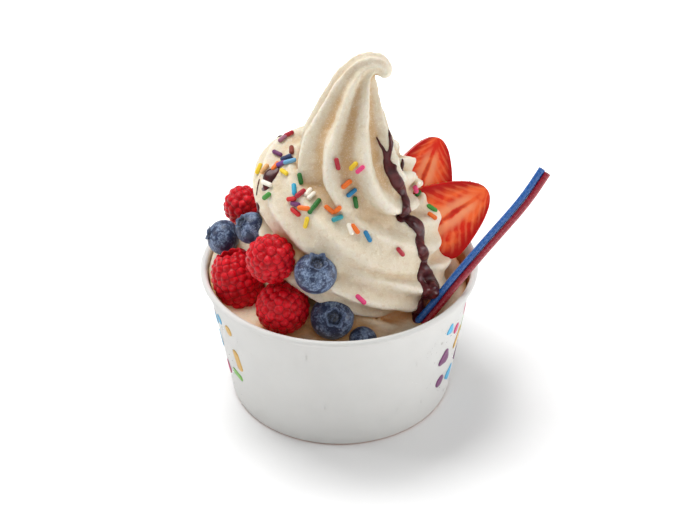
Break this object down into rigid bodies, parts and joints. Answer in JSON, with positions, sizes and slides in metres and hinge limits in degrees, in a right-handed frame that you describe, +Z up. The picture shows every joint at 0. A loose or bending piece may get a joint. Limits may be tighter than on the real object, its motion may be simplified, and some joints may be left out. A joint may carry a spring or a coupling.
{
  "type": "frozen yogurt cup",
  "caption": "Squat white paper cup of soft-serve frozen yogurt in a tall hooked swirl, with berries, strawberry slices, chocolate sauce, sprinkles and stirring straws.",
  "frame": {"origin": "bottom centre of the whole object's box, on the surface that the cup stands on", "axes": "+Z up along the cup's axis, +X towards the side that the stirring straws lean over, -Y towards the front, where the berries and the face of the swirl show; the cup's own axis stands at x = -0.0125"},
  "size_m": [0.137, 0.112, 0.1521],
  "materials": {
    "cup_paper": "matt white paper board with a thin coating",
    "frozen_yogurt": "soft, fine-grained frozen cream, slightly translucent",
    "raspberry_red": "moist drupelets with a faint bloom",
    "blueberry_skin": "dark skin under a pale bloom",
    "strawberry_flesh": "moist cut flesh with pale fibres",
    "chocolate_sauce": "glossy thin sauce",
    "sprinkles": "sugar glaze in mixed bright colours",
    "straw_blue": "smooth thin plastic",
    "straw_red": "smooth thin plastic"
  },
  "bodies": {
    "root": {"cup_wall": "cup_paper", "cup_base": "cup_paper", "yogurt": "frozen_yogurt", "raspberry_1": "raspberry_red", "raspberry_2": "raspberry_red", "raspberry_3": "raspberry_red", "raspberry_4": "raspberry_red", "blueberry_1": "blueberry_skin", "blueberry_2": "blueberry_skin", "blueberry_3": "blueberry_skin", "blueberry_4": "blueberry_skin", "blueberry_5": "blueberry_skin", "strawberry_slice_1": "strawberry_flesh", "strawberry_slice_2": "strawberry_flesh", "straw_blue": "straw_blue", "straw_red": "straw_red"}
  },
  "joints": []
}
